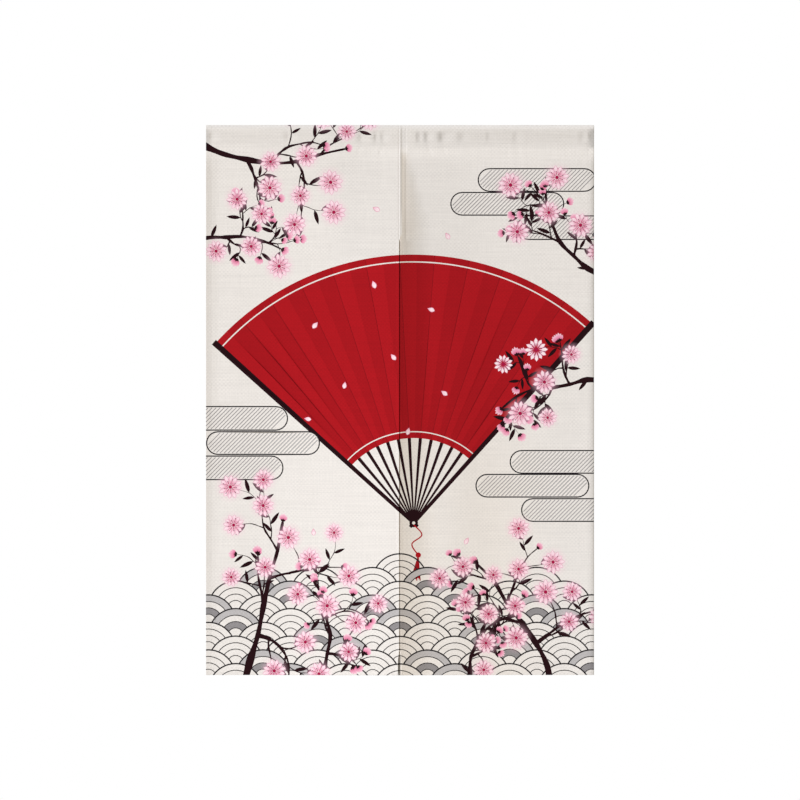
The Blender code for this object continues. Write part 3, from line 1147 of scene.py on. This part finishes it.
# A stitch's triangles: corners 0 and 1 are its ends, 2 and 3 its sides, 4 its top and 5
# its foot; then how far these two lie from the cloth, as shares of half its width
SPINDLE = np.array([
    (0, 2, 4), (2, 1, 4), (1, 3, 4), (3, 0, 4), (2, 0, 5), (1, 2, 5), (3, 1, 5), (0, 3, 5),
])
THREAD_RISE = 1.1
THREAD_SINK = 0.5


def make_stitches(name, panel, print_and_shade_at):
    """Every stitch as a small spindle of thread, on both sides of the cloth."""
    pairs = np.array([pair for line in stitched_lines(panel) for pair in zip(line, line[1:])])
    middles, along = (pairs[:, 0] + pairs[:, 1]) / 2, pairs[:, 1] - pairs[:, 0]
    along /= np.linalg.norm(along, axis=1)[:, None]
    across = np.stack([-along[:, 1], along[:, 0]], axis=1)
    ahead, aside, half = along * STITCH_LENGTH / 2, across * THREAD_WIDTH / 2, THREAD_WIDTH / 2
    # Each stitch takes the print and painted shade of the cloth under it
    print_and_shade = np.array([print_and_shade_at(point) for point in middles.tolist()])
    count = len(middles)
    numbers = 6 * np.arange(count)[:, None, None] + SPINDLE
    points, faces, colours = [], [], []
    for surface, outward, fade in ((panel.printed_side, 1, 1.0), (panel.wrong_side, -1, GHOST)):
        spots = (middles, middles - ahead, middles + ahead, middles - aside, middles + aside)
        seat, *around = (surface(*spot.T) for spot in spots)
        normal = normals_of(surface, *middles.T, outward) * half
        corners = np.stack([*around, seat + normal * THREAD_RISE, seat - normal * THREAD_SINK], axis=1)
        faces.append((numbers + 6 * count * len(faces))[:, :, ::outward].reshape(-1, 3))
        points.append(corners.reshape(-1, 3))
        colours.append(np.repeat(CREAM + (print_and_shade - CREAM) * fade, SPINDLE.size, axis=0))
    cloth_map = np.repeat(np.concatenate([middles, middles]), SPINDLE.size, axis=0)
    return add_mesh(name, *(np.concatenate(part) for part in (points, faces, colours)), cloth_map)


# Materials

class Nodes:
    """Short names for building a node tree."""

    def __init__(self, tree):
        self.tree = tree

    def add(self, kind, **settings):
        node = self.tree.nodes.new(kind)
        for key, value in settings.items():
            setattr(node, key, value)
        return node

    def link(self, source, target):
        """Links an output to an input, or sets the input to a constant."""
        if isinstance(source, (int, float, tuple)):
            target.default_value = source
        else:
            self.tree.links.new(source, target)

    def feed(self, node, sources):
        """Links or sets inputs by their names."""
        for name, source in sources.items():
            self.link(source, node.inputs[name])
        return node

    def math(self, operation, *inputs):
        node = self.add("ShaderNodeMath", operation=operation)
        for socket, source in zip(node.inputs, inputs):
            self.link(source, socket)
        return node.outputs[0]

    def noise(self, coordinates, scale, detail):
        node = self.add("ShaderNodeTexNoise")
        return self.feed(node, {"Vector": coordinates, "Scale": scale, "Detail": detail}).outputs["Fac"]

    def stretched(self, coordinates, x, y):
        node = self.add("ShaderNodeMapping")
        return self.feed(node, {"Vector": coordinates, "Scale": (x, y, 1.0)}).outputs["Vector"]


def new_material(name):
    """A material, its nodes and its shader."""
    material = bpy.data.materials.new(name)
    material.use_nodes = True
    return material, Nodes(material.node_tree), material.node_tree.nodes["Principled BSDF"]


# The weave: pitch of its threads and its basket pattern, how far threads wander, the
# textures' scales along and across a thread, and the gain and base of their lightness
THREAD_PITCH = 0.00095
BASKET_PITCH = 0.00436
THREAD_DRIFT = 2.4
DRIFT_SCALE = (6.0, 90.0)
SLUB_SCALE = (28.0, 950.0)
BAR_SCALE = (7.0, 330.0)
PATCH_SCALE = 24.0
BASKET_LIGHT = (0.15, -0.04)
SLUB_LIGHT = (0.17, 0.83)
WEAVE_LIGHT = (0.07, -0.035)
BAR_LIGHT = (0.15, -0.105)
WARP_BARS = 0.4


def cloth_material(name):
    """Printed plain weave: threads over and under, with slubs and faint unevenness."""
    material, nodes, shader = new_material(name)
    calc = nodes.math
    coordinates = nodes.add("ShaderNodeUVMap", uv_map="cloth").outputs["UV"]
    u, v = nodes.feed(nodes.add("ShaderNodeSeparateXYZ"), {"Vector": coordinates}).outputs[:2]

    def both_ways(scale, detail):
        """Noise drawn out along the weft, and along the warp."""
        return [nodes.noise(nodes.stretched(coordinates, *s), 1.0, detail) for s in (scale, scale[::-1])]

    def wave(place, pitch, drift):
        return calc("SINE", calc("ADD", calc("MULTIPLY", place, math.pi / pitch), drift))

    def checks(pitch, *drifts):
        """A wave across the cloth times a wave down it."""
        across, down = drifts or (0.0, 0.0)
        return calc("MULTIPLY", wave(u, pitch, across), wave(v, pitch, down))

    weft_drift, warp_drift = (calc("MULTIPLY", n, THREAD_DRIFT) for n in both_ways(DRIFT_SCALE, 2.0))
    weave = calc("MULTIPLY_ADD", checks(THREAD_PITCH, warp_drift, weft_drift), 0.5, 0.5)
    slubs = calc("ADD", *both_ways(SLUB_SCALE, 3.0))
    weft_bars, warp_bars = both_ways(BAR_SCALE, 1.0)
    bars = calc("MULTIPLY_ADD", warp_bars, WARP_BARS, weft_bars)
    showing = calc("MULTIPLY_ADD", nodes.noise(coordinates, PATCH_SCALE, 1.0), *BASKET_LIGHT)
    light = calc("MULTIPLY", checks(BASKET_PITCH), showing)
    for texture, change in ((slubs, SLUB_LIGHT), (weave, WEAVE_LIGHT), (bars, BAR_LIGHT)):
        light = calc("ADD", light, calc("MULTIPLY_ADD", texture, *change))

    # The colour layer is the print times its painted shade
    print_and_shade_colour = nodes.add("ShaderNodeVertexColor", layer_name="print").outputs["Color"]
    shade = nodes.add("ShaderNodeMix", data_type="RGBA", blend_type="MULTIPLY")
    nodes.feed(shade, {"Factor": 1.0, "A": print_and_shade_colour, "B": light})
    relief = calc("MULTIPLY_ADD", weave, 0.6, calc("MULTIPLY", slubs, 0.5))
    bump = nodes.add("ShaderNodeBump")
    nodes.feed(bump, {"Strength": 0.55, "Distance": 0.00022, "Height": relief})
    nodes.feed(shader, {
        "Base Color": shade.outputs["Result"],
        "Normal": bump.outputs["Normal"],
        "Roughness": calc("MULTIPLY_ADD", slubs, 0.12, 0.76),
        "Specular IOR Level": 0.06,
        "Sheen Weight": 0.03,
        "Sheen Roughness": 0.6,
    })
    return material


# Stage, light and camera. Suns: name, azimuth from the viewer, elevation, strength, softness
FLOOR_HEIGHT = -2.0
FLOOR_SIZE = 7.0
FRAME_PIXELS = 800
CURTAIN_PIXELS_TALL = 550
CAMERA_DISTANCE = 12.0
AMBIENT = 0.33
AMBIENT_COLOUR = (1.0, 0.89, 0.67)
SUN_COLOUR = (0.94, 1.0, 1.12)
SUNS = (("key", -52, 22, 3.5, 20), ("back", 140, 28, 3.4, 24))


def make_stage():
    bpy.ops.mesh.primitive_plane_add(size=FLOOR_SIZE, location=(0.0, 0.0, FLOOR_HEIGHT))
    floor = bpy.context.object
    floor.name = "floor"
    material, nodes, shader = new_material("pale_floor")
    nodes.feed(shader, {"Base Color": (0.72, 0.71, 0.69, 1.0), "Roughness": 0.7})
    floor.data.materials.append(material)


def make_sun(name, azimuth, elevation, strength, softness):
    turn, lift = math.radians(azimuth), math.radians(elevation)
    source = Vector((math.sin(turn) * math.cos(lift), -math.cos(turn) * math.cos(lift), math.sin(lift)))
    lamp = bpy.data.lights.new(name, "SUN")
    lamp.energy = strength
    lamp.color = SUN_COLOUR
    lamp.angle = math.radians(softness)
    add_object(name, lamp).rotation_euler = source.to_track_quat("Z", "Y").to_euler()


def make_world():
    """White for the eye, and a dimmer soft light on the cloth."""
    world = bpy.data.worlds.new("studio")
    bpy.context.scene.world = world
    world.use_nodes = True
    nodes = Nodes(world.node_tree)
    seen = nodes.add("ShaderNodeLightPath").outputs["Is Camera Ray"]
    strength = nodes.math("MULTIPLY_ADD", seen, 1.0 - AMBIENT, AMBIENT)
    tint = nodes.add("ShaderNodeMix", data_type="RGBA")
    nodes.feed(tint, {"Factor": seen, "A": (*AMBIENT_COLOUR, 1.0), "B": (1.0, 1.0, 1.0, 1.0)})
    background = world.node_tree.nodes["Background"]
    nodes.feed(background, {"Strength": strength, "Color": tint.outputs["Result"]})


def make_camera():
    camera = add_object("camera", bpy.data.cameras.new("camera"))
    seen_height = DROP * FRAME_PIXELS / CURTAIN_PIXELS_TALL
    camera.data.lens = camera.data.sensor_width * CAMERA_DISTANCE / seen_height
    camera.data.clip_end = 100.0
    camera.location = (0.0, -CAMERA_DISTANCE, -DROP / 2)
    camera.rotation_euler = (math.radians(90), 0.0, 0.0)
    bpy.context.scene.camera = camera


make_camera()
make_world()
make_stage()
for sun in SUNS:
    make_sun(*sun)
bpy.context.scene.view_settings.view_transform = "Standard"

art = make_print()
cloth = cloth_material("printed_cloth")
for name, side in (("left", -1), ("right", 1)):
    panel = Panel(side)
    sheet, print_and_shade_at = make_cloth(f"{name}_cloth", panel, art)
    stitches = make_stitches(f"{name}_stitches", panel, print_and_shade_at)
    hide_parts(f"{name}_panel", f"{name}_heading")
    for piece in (sheet, stitches):
        piece.data.materials.append(cloth)
        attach(piece, "root")
